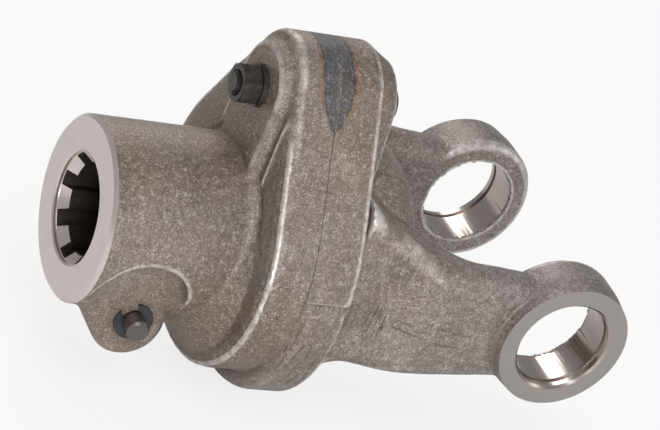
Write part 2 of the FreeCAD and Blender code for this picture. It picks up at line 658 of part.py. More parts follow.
def shear_bolt_nut():
    base = HUB_FACE_X - SPRING_WASHER_THICKNESS
    start = base - NUT_HEIGHT
    nut = hexagon_along_x(start, HEX_ACROSS_FLATS, NUT_HEIGHT, 0, LUG_HEIGHT)
    nut = round_hex_ends(nut, start, NUT_HEIGHT, HEX_ACROSS_FLATS, ("start", "end"))
    hole = rod(BOLT_RADIUS, Vector(start - OVERCUT, 0, LUG_HEIGHT), AXIS_X, NUT_HEIGHT + 2 * OVERCUT)
    sink = Part.makeCone(BOLT_RADIUS + NUT_COUNTERSINK, BOLT_RADIUS, NUT_COUNTERSINK,
                         Vector(start, 0, LUG_HEIGHT), AXIS_X)
    return nut.cut(hole.fuse(sink))


def spring_washer():
    """The split spring washer under the nut."""
    start = Vector(HUB_FACE_X - SPRING_WASHER_THICKNESS, 0, LUG_HEIGHT)
    ring = rod(SPRING_WASHER_RADIUS, start, AXIS_X, SPRING_WASHER_THICKNESS)
    hole = rod(BOLT_RADIUS + BOLT_HOLE_CLEARANCE, start, AXIS_X, SPRING_WASHER_THICKNESS)
    slit = Part.makeBox(2 * SPRING_WASHER_THICKNESS, SPRING_WASHER_SLIT, 2 * SPRING_WASHER_RADIUS,
                        start + Vector(-SPRING_WASHER_THICKNESS / 2, -SPRING_WASHER_SLIT / 2, 0))
    slit.rotate(start, AXIS_X, 200)
    return ring.cut(hole).cut(slit)


def push_pin():
    """The push pin: button, waist that frees the shaft, locking collar and clipped tail."""
    waist_start, waist_end = WAIST_OFFSET - WAIST_HALF_LENGTH, WAIST_OFFSET + WAIST_HALF_LENGTH
    sagitta = WAIST_ARC_RADIUS - math.sqrt(WAIST_ARC_RADIUS ** 2 - WAIST_HALF_LENGTH ** 2)
    clip_y = -BOSS_HALF_WIDTH - CLIP_FACE_GAP
    tail_end = clip_y - CLIP_THICKNESS - TAIL_PROTRUSION
    bend = BUTTON_ROUNDING * (1 - math.sqrt(0.5))

    def at(radius, y):
        return Vector(PIN_X + radius, y, -PIN_DROP)

    edges = [
        line(at(0, BUTTON_END), at(PIN_RADIUS - BUTTON_ROUNDING, BUTTON_END)),
        arc(at(PIN_RADIUS - BUTTON_ROUNDING, BUTTON_END), at(PIN_RADIUS - bend, BUTTON_END - bend),
            at(PIN_RADIUS, BUTTON_END - BUTTON_ROUNDING)),
        line(at(PIN_RADIUS, BUTTON_END - BUTTON_ROUNDING), at(PIN_RADIUS, waist_end)),
        arc(at(PIN_RADIUS, waist_end), at(PIN_RADIUS - sagitta, WAIST_OFFSET),
            at(PIN_RADIUS, waist_start)),
    ]
    corners = [
        (PIN_RADIUS, waist_start), (PIN_RADIUS, -COLLAR_REACH), (TAIL_RADIUS, -COLLAR_REACH),
        (TAIL_RADIUS, clip_y), (CLIP_GROOVE_RADIUS, clip_y),
        (CLIP_GROOVE_RADIUS, clip_y - CLIP_THICKNESS), (TAIL_RADIUS, clip_y - CLIP_THICKNESS),
        (TAIL_RADIUS, tail_end + TAIL_CHAMFER), (TAIL_RADIUS - TAIL_CHAMFER, tail_end),
        (0, tail_end), (0, BUTTON_END),
    ]
    edges += [line(at(*a), at(*b)) for a, b in zip(corners, corners[1:])]
    return turned(Part.Wire(edges), Vector(PIN_X, 0, -PIN_DROP), AXIS_Y)


def push_pin_clip():
    """The open clip in the tail's groove: three lands on the groove and a mouth to push it on."""
    start = Vector(PIN_X, -BOSS_HALF_WIDTH - CLIP_FACE_GAP - CLIP_THICKNESS, -PIN_DROP)
    ring = rod(CLIP_RADIUS, start, AXIS_Y, CLIP_THICKNESS)
    groove = rod(CLIP_GROOVE_RADIUS, start, AXIS_Y, CLIP_THICKNESS)
    relief = rod(CLIP_RELIEF_RADIUS, start, AXIS_Y, CLIP_THICKNESS)
    mouth = Part.makeBox(CLIP_MOUTH, CLIP_THICKNESS, 2 * CLIP_RADIUS, start - AXIS_X * (CLIP_MOUTH / 2))
    gaps = []
    for angle in (-CLIP_RELIEF_ANGLE, CLIP_RELIEF_ANGLE):
        gap = Part.makeBox(CLIP_RELIEF_WIDTH, CLIP_THICKNESS, CLIP_RADIUS,
                           start - Vector(CLIP_RELIEF_WIDTH / 2, 0, CLIP_RADIUS))
        gap.rotate(start, AXIS_Y, angle)
        gaps.append(gap.common(relief))
    clip = ring.cut(groove.multiFuse([mouth, *gaps]))
    clip.rotate(start, AXIS_Y, CLIP_TURN)
    return clip


def push_pin_spring():
    """The coil spring round the tail, between the bore's end wall and the collar.

    Its path is a helix drawn as short arcs, so that each swept face stays simple.
    """
    start = BORE_END_WALL - BOSS_HALF_WIDTH + SPRING_SEAT_GAP + SPRING_WIRE_RADIUS
    end = -COLLAR_REACH - SPRING_SEAT_GAP - SPRING_WIRE_RADIUS
    count = SPRING_TURNS * SPRING_ARCS_PER_TURN
    pitch = (end - start) / count

    def at(step):
        angle = 2 * math.pi * step / SPRING_ARCS_PER_TURN
        return Vector(PIN_X + SPRING_RADIUS * math.cos(angle), start + pitch * step,
                      -PIN_DROP - SPRING_RADIUS * math.sin(angle))

    path = [arc(at(k), at(k + 0.5), at(k + 1)) for k in range(count)]
    along = path[0].tangentAt(path[0].FirstParameter)
    section = Part.Wire(Part.makeCircle(SPRING_WIRE_RADIUS, at(0), along))
    return Part.Wire(path).makePipeShell([section], True, False, 1)


def main():
    os.makedirs("parts", exist_ok=True)
    parts = {
        "splined_hub": splined_hub(),
        "yoke": forged_yoke(),
        "retaining_balls": retaining_balls(),
        "spigot_seal": spigot_seal(),
        "ball_filler_plug": filler_plug(),
        "grease_nipple": grease_nipple(),
        "shear_bolt": shear_bolt(),
        "shear_bolt_nut": shear_bolt_nut(),
        "lock_washer": spring_washer(),
        "push_pin": push_pin(),
        "push_pin_clip": push_pin_clip(),
        "push_pin_spring": push_pin_spring(),
    }
    for name, shape in parts.items():
        shape.exportStep(f"parts/{name}.step")
        print(name, len(shape.Solids), "solids", round(shape.Volume, 1), "mm3", shape.isValid())


main()
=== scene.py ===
"""Looks for a shear-bolt yoke: two shot-blasted forgings, their machined faces and the small steel pieces."""

import json
import math

import bmesh
import bpy
from bpy.props import FloatProperty, FloatVectorProperty, IntProperty, PointerProperty
from mathutils import Matrix, Vector, noise


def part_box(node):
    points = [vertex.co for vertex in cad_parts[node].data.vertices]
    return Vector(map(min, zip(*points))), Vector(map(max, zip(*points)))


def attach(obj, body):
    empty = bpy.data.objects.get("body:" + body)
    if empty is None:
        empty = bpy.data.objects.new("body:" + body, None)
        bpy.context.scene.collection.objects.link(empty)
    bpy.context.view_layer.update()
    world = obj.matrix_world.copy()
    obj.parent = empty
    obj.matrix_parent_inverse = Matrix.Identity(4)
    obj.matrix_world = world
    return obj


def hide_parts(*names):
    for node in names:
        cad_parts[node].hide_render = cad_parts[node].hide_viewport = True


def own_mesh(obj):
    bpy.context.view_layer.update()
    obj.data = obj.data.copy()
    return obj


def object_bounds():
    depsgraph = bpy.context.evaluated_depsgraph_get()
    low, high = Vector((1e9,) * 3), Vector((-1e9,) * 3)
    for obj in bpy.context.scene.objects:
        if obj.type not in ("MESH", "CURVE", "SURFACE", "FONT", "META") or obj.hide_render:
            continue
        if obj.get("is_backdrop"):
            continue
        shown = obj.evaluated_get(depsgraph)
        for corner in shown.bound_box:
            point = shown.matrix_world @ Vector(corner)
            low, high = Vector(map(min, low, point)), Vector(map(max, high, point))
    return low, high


bl_info = {
    "name": "Shear-bolt yoke",
    "version": (1, 0, 0),
    "blender": (4, 5, 0),
    "location": "View3D > Sidebar > Yoke",
    "description": "Dresses a forged shear-bolt yoke with its finishes",
    "category": "Object",
}

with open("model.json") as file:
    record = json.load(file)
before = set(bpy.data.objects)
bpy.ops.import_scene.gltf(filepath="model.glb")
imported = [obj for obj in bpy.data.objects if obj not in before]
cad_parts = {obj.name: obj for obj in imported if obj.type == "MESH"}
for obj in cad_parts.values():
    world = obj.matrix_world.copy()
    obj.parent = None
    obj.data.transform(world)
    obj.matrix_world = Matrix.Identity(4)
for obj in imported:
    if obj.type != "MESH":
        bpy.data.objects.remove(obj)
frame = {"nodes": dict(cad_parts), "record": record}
CAD_LOW, CAD_HIGH = (corner.copy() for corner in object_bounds())
MM = 0.001
MOUNTS = {mount["name"]: mount for mount in frame["record"]["mounts"]}
HUB_LOW, HUB_HIGH = (Vector(corner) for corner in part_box("splined_hub"))
YOKE_LOW, _ = (Vector(corner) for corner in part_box("yoke"))
BOLT_LOW, BOLT_HIGH = (Vector(corner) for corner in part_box("shear_bolt"))
_, WASHER_HIGH = (Vector(corner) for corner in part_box("lock_washer"))
PIN_LOW, PIN_HIGH = (Vector(corner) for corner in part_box("push_pin"))
CROSS_X = MOUNTS["cross_bores"]["pos_m"][0]
CROSS_R = MOUNTS["cross_bores"]["dims"]["r_mm"] * MM
EAR_FACE = MOUNTS["cross_bores"]["dims"]["length_mm"] * MM / 2
SEAM_X = YOKE_LOW.x
BOLT_Z = (BOLT_LOW.z + BOLT_HIGH.z) / 2
PIN_X = (PIN_LOW.x + PIN_HIGH.x) / 2
PIN_Z = (PIN_LOW.z + PIN_HIGH.z) / 2
LUG_TOP = HUB_HIGH.z
FLANGE_R = HUB_HIGH.y
LUG_R = LUG_TOP - BOLT_Z
HUB_RIM_X = SEAM_X - 16 * MM
# Where the hub's forged ridges run: round the tube's root, and along the edge of the arm.
ROOT_RIDGE_R = 35.8 * MM
ARM_RIDGE_Y = 20.6 * MM
# The bolt's and the pin's holes, as they are cut and as they are filled before the skin is made.
BOLT_HEAD_HEIGHT = 5.3 * MM
BOLT_HOLE_R = 4.2 * MM
BOLT_FILL_R = 6 * MM
PIN_FILL_R = 9.4 * MM
PIN_TIP_HOLE_R = 4.25 * MM
PIN_SEAT_Y = -21.5 * MM
# Scratched patches: the ends along X, the ends along Z, and the axis that the scratches cross.
SCAR_ZONES = (
    (SEAM_X, 86 * MM, -34 * MM, 3 * MM, "X"),
    (89 * MM, 104 * MM, -12 * MM, 3 * MM, "X"),
    (108 * MM, 134 * MM, -7 * MM, -1 * MM, "Z"),
)
# The camera: where it stands, the way it looks and the way that is up.
CAMERA_PLACE = (-0.3804, -0.7454, 0.4749)
CAMERA_AIM = (0.4753, 0.7461, -0.4663)
CAMERA_UP = (-0.104, 0.574, 0.812)
# Temper colours from the outside in: inner edge, outer edge and fade as shares of the mark's
# half width, and the factor on the steel's colour.
TINT_BANDS = (
    (1.12, 1.22, 0.28, (1.00, 0.79, 0.62)),
    (0.90, 1.08, 0.07, (0.36, 0.55, 0.84)),
    (0.81, 0.86, 0.05, (0.92, 0.80, 0.70)),
    (-1.0, 0.78, 0.06, (0.48, 0.57, 0.68)),
    (-1.0, 0.05, 0.06, (2.10, 1.95, 1.80)),
)
AXES = {"X": Matrix.Identity(3), "Y": Matrix(((0, 0, 1), (1, 0, 0), (0, 1, 0)))}


class ForgingLook(bpy.types.PropertyGroup):
    """Shape and colour of the forged skin."""

    voxel: FloatProperty(name="Skin cell", description="Cell size of the forged skin", default=0.85 * MM,
                         unit="LENGTH")
    rounds: IntProperty(name="Rounding", description="Passes that soften the forged corners", default=3)
    wave: FloatProperty(name="Waviness", description="Height of the uneven forged surface",
                        default=0.16 * MM, unit="LENGTH")
    crisp: FloatProperty(name="Crispness", description="How much the ridges are sharpened", default=0.7)
    ridge_scale: IntProperty(name="Ridge scale", default=14,
                             description="Passes of the smoothing that ridges are measured from")
    grain: FloatProperty(name="Grain", description="Specks in each metre", default=1500.0)
    contrast: FloatProperty(name="Grain contrast", description="Strength of the specks", default=0.75)
    edge_start: FloatProperty(name="Wear from", description="Height in mm at which a ridge starts to shine",
                              default=0.06)
    edge_end: FloatProperty(name="Wear to", description="Height in mm at which a ridge is bright",
                            default=0.17)
    base: FloatVectorProperty(name="Steel", description="Blasted steel", subtype="COLOR",
                              default=(0.218, 0.164, 0.129))
    # Also the colour of the painted shade in the hollows.
    dark: FloatVectorProperty(name="Scale", description="Dark specks", subtype="COLOR",
                              default=(0.105, 0.083, 0.068))
    light: FloatVectorProperty(name="Peaks", description="Bright specks and worn edges", subtype="COLOR",
                               default=(0.52, 0.475, 0.445))
    # Wear and painted highlight: the colour that the ridges are lightened to.
    wear_and_highlight: FloatVectorProperty(name="Worn and highlighted ridges", description="Steel that shines on the ridges",
                              subtype="COLOR", default=(0.66, 0.615, 0.590))
    grey: FloatVectorProperty(name="Grey cast", description="Cooler patches", subtype="COLOR",
                              default=(0.250, 0.218, 0.206))


class MachinedLook(bpy.types.PropertyGroup):
    """Sizes and colours of the turned and bored faces."""

    tube_radius: FloatProperty(name="Tube radius", description="Outside of the socket's tube",
                               default=32.25 * MM, unit="LENGTH")
    mouth_chamfer: FloatProperty(name="Mouth chamfer", description="Chamfer of the mouth's rim",
                                 default=1.3 * MM, unit="LENGTH")
    spline_major: FloatProperty(name="Groove radius", description="Radius at the groove's floor",
                                default=19.0 * MM, unit="LENGTH")
    spline_minor: FloatProperty(name="Tooth radius", description="Radius at the tooth's top",
                                default=16.0 * MM, unit="LENGTH")
    groove_width: FloatProperty(name="Groove width", description="Width of a straight groove",
                                default=6.0 * MM, unit="LENGTH")
    grooves: IntProperty(name="Grooves", description="Grooves round the socket", default=8)
    counterbore: FloatProperty(name="Counterbore", description="Depth of the plain mouth",
                               default=1.6 * MM, unit="LENGTH")
    boss_radius: FloatProperty(name="Ear face radius", description="Radius of the ear's machined face",
                               default=24.5 * MM, unit="LENGTH")
    spigot_radius: FloatProperty(name="Spigot radius", description="Spigot inside the yoke",
                                 default=29.0 * MM, unit="LENGTH")
    bright: FloatVectorProperty(name="Bright steel", description="Freshly turned steel", subtype="COLOR",
                                default=(0.74, 0.665, 0.640))
    ring: FloatVectorProperty(name="Ear ring", description="Faced ring of the ears", subtype="COLOR",
                              default=(0.40, 0.365, 0.345))
    bore: FloatVectorProperty(name="Bore", description="Bored steel", subtype="COLOR",
                              default=(0.50, 0.44, 0.41))
    # Painted shade: near black for the shade inside the socket and the drilled holes.
    shade: FloatVectorProperty(name="Socket", description="Broached steel inside the socket",
                               subtype="COLOR", default=(0.045, 0.036, 0.031))


class FastenerLook(bpy.types.PropertyGroup):
    """Colours of the small pieces."""

    black: FloatVectorProperty(name="Black oxide", description="Bolt, nut and washer", subtype="COLOR",
                               default=(0.014, 0.013, 0.013))
    # Rubbed wear and painted highlight: the colour that the black pieces' edges are lightened to.
    rub_and_highlight: FloatVectorProperty(name="Rubbed", description="Steel where the black is rubbed",
                             subtype="COLOR", default=(0.105, 0.090, 0.085))
    clip: FloatVectorProperty(name="Clip", description="Blued spring clip", subtype="COLOR",
                              default=(0.036, 0.039, 0.044))
    pin: FloatVectorProperty(name="Pin", description="Turned pin", subtype="COLOR",
                             default=(0.170, 0.150, 0.143))
    zinc: FloatVectorProperty(name="Zinc", description="Plated nipple", subtype="COLOR",
                              default=(0.50, 0.49, 0.46))
    rubber: FloatVectorProperty(name="Rubber", description="Seal ring", subtype="COLOR",
                                default=(0.02, 0.02, 0.021))


class StageLook(bpy.types.PropertyGroup):
    """Floor, lamps and lens."""

    key: FloatProperty(name="Key", description="Power of the lamp above", default=3.1)
    left: FloatProperty(name="Left", description="Power of the low lamp at the front left", default=6.0)
    fill: FloatProperty(name="Fill", description="Power of the side lamp", default=1.6)
    rim: FloatProperty(name="Rim", description="Power of the lamp behind", default=3.0)
    sky: FloatProperty(name="Sky", description="Strength of the surrounding light", default=0.32)
    lens: FloatProperty(name="Lens", description="Focal length in millimetres", default=155.5)


# ---------------------------------------------------------------- meshes

def new_piece(name, mesh, *materials):
    """Puts a mesh in the scene as an object with its materials."""
    piece = bpy.data.objects.new(name, mesh)
    for material in materials:
        mesh.materials.append(material)
    bpy.context.scene.collection.objects.link(piece)
    return piece


def lathe(name, profile, axis="X", centre=(0, 0, 0), segments=160, material=None):
    """A closed turned solid: profile is (along, radius) from one end on the axis to the other."""
    bm = bmesh.new()
    turn = AXES[axis]
    rings = []
    for along, radius in profile:
        if radius == 0:
            rings.append([bm.verts.new(turn @ Vector((along, 0, 0)) + Vector(centre))])
            continue
        ring = []
        for k in range(segments):
            a = 2 * math.pi * k / segments
            point = Vector((along, radius * math.cos(a), radius * math.sin(a)))
            ring.append(bm.verts.new(turn @ point + Vector(centre)))
        rings.append(ring)
    for first, second in zip(rings, rings[1:]):
        for k in range(segments):
            n = (k + 1) % segments
            corners = [first[k % len(first)], first[n % len(first)],
                       second[n % len(second)], second[k % len(second)]]
            unique = list(dict.fromkeys(corners))
            if len(unique) > 2:
                bm.faces.new(unique)
    bmesh.ops.recalc_face_normals(bm, faces=bm.faces)
    mesh = bpy.data.meshes.new(name)
    bm.to_mesh(mesh)
    bm.free()
    return new_piece(name, mesh, *([material] if material else []))


def prism(name, outline, start, end, material=None):
    """A closed prism along X from an outline of (y, z) points."""
    bm = bmesh.new()
    caps = [[bm.verts.new((x, y, z)) for y, z in outline] for x in (start, end)]
    count = len(outline)
    for k in range(count):
        bm.faces.new([caps[0][k], caps[0][(k + 1) % count], caps[1][(k + 1) % count], caps[1][k]])
    for cap in caps:
        bm.faces.new(cap)
    bmesh.ops.recalc_face_normals(bm, faces=bm.faces)
    mesh = bpy.data.meshes.new(name)
    bm.to_mesh(mesh)
    bm.free()
    return new_piece(name, mesh, *([material] if material else []))


def bake(piece):
    """Applies the piece's modifiers to its mesh."""
    bpy.context.view_layer.update()
    graph = bpy.context.evaluated_depsgraph_get()
    mesh = bpy.data.meshes.new_from_object(piece.evaluated_get(graph), depsgraph=graph)
    old = piece.data
    piece.modifiers.clear()
    piece.data = mesh
    bpy.data.meshes.remove(old)


def combine(piece, tool, operation="DIFFERENCE"):
    """Joins or cuts a piece with a tool, and keeps the tool's material on the faces it makes."""
    step = piece.modifiers.new(operation, "BOOLEAN")
    step.operation = operation
    step.object = tool
    step.solver = "MANIFOLD"
    step.material_mode = "TRANSFER"
    bake(piece)
    bpy.data.objects.remove(tool)


def flange_outline(lug_radius, flange_radius, steps=72):
    """The drop shape of the flanges: two circles and the tangents between them."""
    tilt = math.asin((flange_radius - lug_radius) / BOLT_Z)
    points = []
    for k in range(steps + 1):
        a = tilt + (math.pi - 2 * tilt) * k / steps
        points.append((lug_radius * math.cos(a), BOLT_Z + lug_radius * math.sin(a)))
    for k in range(2 * steps + 1):
        a = math.pi - tilt + (math.pi + 2 * tilt) * k / (2 * steps)
        points.append((flange_radius * math.cos(a), flange_radius * math.sin(a)))
    return points


def spline_outline(look, steps=6):
    """The socket's section: floors of the grooves and tops of the teeth."""
    points = []
    pitch = 2 * math.pi / look.grooves
    outer = math.asin(look.groove_width / 2 / look.spline_major)
    inner = math.asin(look.groove_width / 2 / look.spline_minor)
    for k in range(look.grooves):
        middle = pitch * k
        for j in range(steps + 1):
            a = middle - outer + 2 * outer * j / steps
            points.append((look.spline_major * math.cos(a), look.spline_major * math.sin(a)))
        for j in range(steps + 1):
            a = middle + inner + (pitch - 2 * inner) * j / steps
            points.append((look.spline_minor * math.cos(a), look.spline_minor * math.sin(a)))
    return points


def weld(mesh):
    """Joins the doubled corners that the frame's meshes have along their sharp edges."""
    bm = bmesh.new()
    bm.from_mesh(mesh)
    bmesh.ops.remove_doubles(bm, verts=bm.verts, dist=0.001 * MM)
    bm.to_mesh(mesh)
    bm.free()


def forge(node, name, fillers, material, relief):
    """A copy of a CAD node with its bores filled, its corners softened and its skin made uneven."""
    look = bpy.context.scene.forging_look
    piece = new_piece(name, frame["nodes"][node].data.copy())
    piece.data.transform(frame["nodes"][node].matrix_world)
    weld(piece.data)
    for filler in fillers:
        combine(piece, filler, "UNION")
    remesh = piece.modifiers.new("skin", "REMESH")
    remesh.mode = "VOXEL"
    remesh.voxel_size = look.voxel
    soften = piece.modifiers.new("soften", "SMOOTH")
    soften.iterations = look.rounds
    soften.factor = 0.5
    bake(piece)
    piece.data.materials.clear()
    piece.data.materials.append(material)
    displace(piece.data, lambda point: relief(point) + look.wave * unevenness(point))
    sharpen(piece, look)
    return piece


def unevenness(point):
    """Slow and fine waves of the forged skin, from -1 to 1."""
    return 0.7 * noise.noise(point * 70) + 0.3 * noise.noise(point * 260)


def displace(mesh, offset):
    """Moves each point of a mesh along its normal."""
    normals = [vertex.normal.copy() for vertex in mesh.vertices]
    points = []
    for vertex, normal in zip(mesh.vertices, normals):
        points.extend(vertex.co + normal * offset(vertex.co))
    mesh.vertices.foreach_set("co", points)
    mesh.update()


def sharpen(piece, look):
    """Crisps the ridges and hollows, and keeps how far each point stands proud as an attribute in mm."""
    soft = piece.copy()
    soft.data = piece.data.copy()
    bpy.context.scene.collection.objects.link(soft)
    blur = soft.modifiers.new("blur", "SMOOTH")
    blur.iterations = look.ridge_scale
    blur.factor = 0.5
    bake(soft)
    mesh = piece.data
    normals = [vertex.normal.copy() for vertex in mesh.vertices]
    proud, points = [], []
    for vertex, normal, smoothed in zip(mesh.vertices, normals, soft.data.vertices):
        calm = 1 - 0.3 * ease((HUB_RIM_X - 2 * MM - vertex.co.x) / (6 * MM))
        rise = (vertex.co - smoothed.co).dot(normal) * calm
        proud.append(rise / MM)
        points.extend(vertex.co + normal * look.crisp * rise)
    mesh.vertices.foreach_set("co", points)
    mesh.attributes.new("proud", "FLOAT", "POINT").data.foreach_set("value", proud)
    mesh.update()
    bpy.data.objects.remove(soft)


def ease(value):
    """A smooth step from 0 to 1."""
    value = min(max(value, 0.0), 1.0)
    return value * value * (3 - 2 * value)


def outside_flange(point):
    """How far a point lies outside the flanges' drop shape, seen along X."""
    lean = (FLANGE_R - LUG_R) / BOLT_Z
    slope = math.sqrt(1 - lean * lean)
    y, z = abs(point.y), point.z
    along = z * slope - y * lean
    if along < 0:
        return math.hypot(y, z) - FLANGE_R
    if along > slope * BOLT_Z:
        return math.hypot(y, z - BOLT_Z) - LUG_R
    return y * slope + z * lean - FLANGE_R


def ridge(point, x, outside, height, width):
    """A narrow ridge that follows the flange's outline."""
    away = math.hypot(point.x - x, outside_flange(point) - outside)
    return height * math.exp(-(away / width) ** 2)


def hub_relief(point):
    """The hub's crisp ridges: round the rim, round the tube's root and along the arm's foot."""
    side = abs(point.y)
    rim = ridge(point, HUB_RIM_X + 1.3 * MM, -1.3 * MM, 0.6 * MM, 1.1 * MM)
    rim *= ease((54 * MM - point.z) / (10 * MM))
    away = math.hypot(point.x - HUB_RIM_X - 1.4 * MM, math.hypot(side, point.z) - ROOT_RIDGE_R)
    root = 0.7 * MM * math.exp(-(away / (1.2 * MM)) ** 2)
    root *= ease((33 * MM - point.z) / (4 * MM)) * ease((point.z + 30 * MM) / (10 * MM))
    away = math.hypot(side - ARM_RIDGE_Y, point.x - HUB_RIM_X + 0.3 * MM)
    foot = 0.7 * MM * math.exp(-(away / (1.1 * MM)) ** 2)
    foot *= ease((point.z - 27 * MM) / (4 * MM)) * ease((58 * MM - point.z) / (8 * MM))
    return max(rim, root, foot) + rim_flat(point)


def rim_flat(point):
    """The shallow oval flat on each side of the hub's rim."""
    across = (point.x - (SEAM_X - 8.4 * MM)) / (7.5 * MM)
    along = (point.z - 3 * MM) / (7.2 * MM)
    inside = 1 - math.hypot(across, along)
    return -0.30 * MM * ease(inside * 5) if abs(point.y) > 0.8 * FLANGE_R else 0.0


def trim_step(point):
    """The trimmed lower half of the yoke's flange, a little smaller than the upper half."""
    if point.x > SEAM_X + 18 * MM:
        return 0.0
    return -0.50 * MM * ease((4.4 * MM - point.z) / (0.8 * MM))


def settle(piece, node, body="root"):
    """Keeps a finished piece inside the frame's box, shades it and puts it in place of its CAD node."""
    points = []
    for vertex in piece.data.vertices:
        points.extend(max(low, min(high, value)) for value, low, high in zip(vertex.co, CAD_LOW, CAD_HIGH))
    piece.data.vertices.foreach_set("co", points)
    piece.data.update()
    piece.data.polygons.foreach_set("use_smooth", [True] * len(piece.data.polygons))
    piece.data.set_sharp_from_angle(angle=math.radians(38))
    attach(piece, body)
    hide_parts(node)


# ---------------------------------------------------------------- materials

class Nodes:
    """Short calls for building a node tree."""

    def __init__(self, tree):
        self.tree = tree

    def add(self, kind, values=None, **settings):
        node = self.tree.nodes.new(kind)
        for key, value in settings.items():
            setattr(node, key, value)
        for key, value in (values or {}).items():
            if isinstance(value, bpy.types.NodeSocket):
                self.tree.links.new(value, node.inputs[key])
            else:
                node.inputs[key].default_value = value
        return node

    def math(self, operation, *values, clamp=False):
        node = self.add("ShaderNodeMath", dict(enumerate(values)), operation=operation)
        node.use_clamp = clamp
        return node.outputs[0]

    def mix(self, factor, first, second, blend="MIX"):
        node = self.add("ShaderNodeMix", data_type="RGBA", blend_type=blend)
        for index, value in ((0, factor), (6, first), (7, second)):
            if isinstance(value, bpy.types.NodeSocket):
                self.tree.links.new(value, node.inputs[index])
            else:
                node.inputs[index].default_value = value
        return node.outputs[2]

    def step(self, value, low, high, start=0.0, end=1.0):
        node = self.add("ShaderNodeMapRange", {0: value, 1: low, 2: high, 3: start, 4: end},
                        interpolation_type="SMOOTHSTEP")
        return node.outputs[0]

    def noise(self, vector, scale, detail=2.0, rough=0.5):
        node = self.add("ShaderNodeTexNoise", {"Vector": vector, "Scale": scale, "Detail": detail,
                                               "Roughness": rough})
        return node.outputs[0]

    def place(self):
        return self.add("ShaderNodeTexCoord").outputs["Object"]

    def parts(self, vector):
        return self.add("ShaderNodeSeparateXYZ", {0: vector}).outputs


def rgba(colour):
    """A colour with full opacity."""
    return (*colour, 1.0)


def new_group(name, inputs, outputs):
    """An empty node group with its sockets: inputs are (name, kind, value), outputs (name, kind)."""
    tree = bpy.data.node_groups.new(name, "ShaderNodeTree")
    for label, kind, value in inputs:
        socket = tree.interface.new_socket(label, in_out="INPUT", socket_type=kind)
        if value is not None:
            socket.default_value = value
    for label, kind in outputs:
        tree.interface.new_socket(label, in_out="OUTPUT", socket_type=kind)
    build = Nodes(tree)
    return tree, build, build.add("NodeGroupInput").outputs, build.add("NodeGroupOutput").inputs


def blast_group():
    """Shot-blasted skin: fine specks over slow patches, with height and roughness."""
    if "Blasted skin" in bpy.data.node_groups:
        return bpy.data.node_groups["Blasted skin"]
    inputs = [("Base", "NodeSocketColor", None), ("Dark", "NodeSocketColor", None),
              ("Light", "NodeSocketColor", None), ("Grey", "NodeSocketColor", None),
              ("Lean", "NodeSocketFloat", 0.0), ("Grain", "NodeSocketFloat", 1500.0),
              ("Contrast", "NodeSocketFloat", 1.0)]
    outputs = [("Color", "NodeSocketColor"), ("Height", "NodeSocketFloat"), ("Roughness", "NodeSocketFloat")]
    tree, n, given, out = new_group("Blasted skin", inputs, outputs)
    place = n.place()
    fine = n.noise(place, given["Grain"], 3.0, 0.65)
    coarse = n.noise(place, n.math("MULTIPLY", given["Grain"], 0.35), 2.0, 0.5)
    patch = n.noise(place, 60.0, 3.0, 0.55)
    cast = n.noise(place, 16.0, 1.0, 0.5)
    grains = n.math("ADD", n.math("MULTIPLY", fine, 0.7), n.math("MULTIPLY", coarse, 0.3))
    leaning = n.math("ADD", n.step(cast, 0.45, 0.65, 0.0, 0.5), given["Lean"], clamp=True)
    colour = n.mix(leaning, given["Base"], given["Grey"])
    colour = n.mix(n.step(patch, 0.50, 0.75, 0.0, 0.35), colour, given["Dark"])
    colour = n.mix(n.step(patch, 0.45, 0.25, 0.0, 0.20), colour, given["Light"])
    colour = n.mix(n.math("MULTIPLY", n.step(grains, 0.50, 0.36), given["Contrast"], clamp=True),
                   colour, given["Dark"])
    colour = n.mix(n.math("MULTIPLY", n.step(grains, 0.50, 0.66), given["Contrast"], clamp=True),
                   colour, given["Light"])
    tree.links.new(colour, out["Color"])
    tree.links.new(grains, out["Height"])
    tree.links.new(n.step(coarse, 0.3, 0.7, 0.40, 0.56), out["Roughness"])
    return tree


def edge_group():
    """Masks that are 1 on ridges, for wear and painted highlight, and 1 in hollows, for painted shade, from
    how far the surface stands proud.
    """
    if "Edge wear and highlight" in bpy.data.node_groups:
        return bpy.data.node_groups["Edge wear and highlight"]
    tree, n, given, out = new_group("Edge wear and highlight", [("Proud", "NodeSocketFloat", 0.0),
                                                   ("Start", "NodeSocketFloat", 0.1),
                                                   ("End", "NodeSocketFloat", 0.3)],
                                    [("Mask", "NodeSocketFloat"), ("Hollow", "NodeSocketFloat")])
    breakup = n.step(n.noise(n.place(), 420.0, 3.0), 0.35, 0.60, 0.45, 1.0)
    ridge = n.step(given["Proud"], given["Start"], given["End"])
    tree.links.new(n.math("MULTIPLY", ridge, breakup), out["Mask"])
    # Painted shade: mask of the hollows.
    hollow = n.step(n.math("MULTIPLY", given["Proud"], -1.0), given["Start"], given["End"])
    tree.links.new(hollow, out["Hollow"])
    return tree


def scar_group():
    """Fine parallel scratches, from noise stretched along one direction."""
    if "Forging scars" in bpy.data.node_groups:
        return bpy.data.node_groups["Forging scars"]
    tree, n, given, out = new_group("Forging scars", [("Across", "NodeSocketFloat", 0.0),
                                                      ("Along", "NodeSocketFloat", 0.0)],
                                    [("Mask", "NodeSocketFloat")])
    place = n.add("ShaderNodeCombineXYZ", {0: n.math("MULTIPLY", given["Across"], 850.0),
                                           1: n.math("MULTIPLY", given["Along"], 75.0)}).outputs[0]
    tree.links.new(n.step(n.noise(place, 1.0, 2.0, 0.5), 0.55, 0.64), out["Mask"])
    return tree


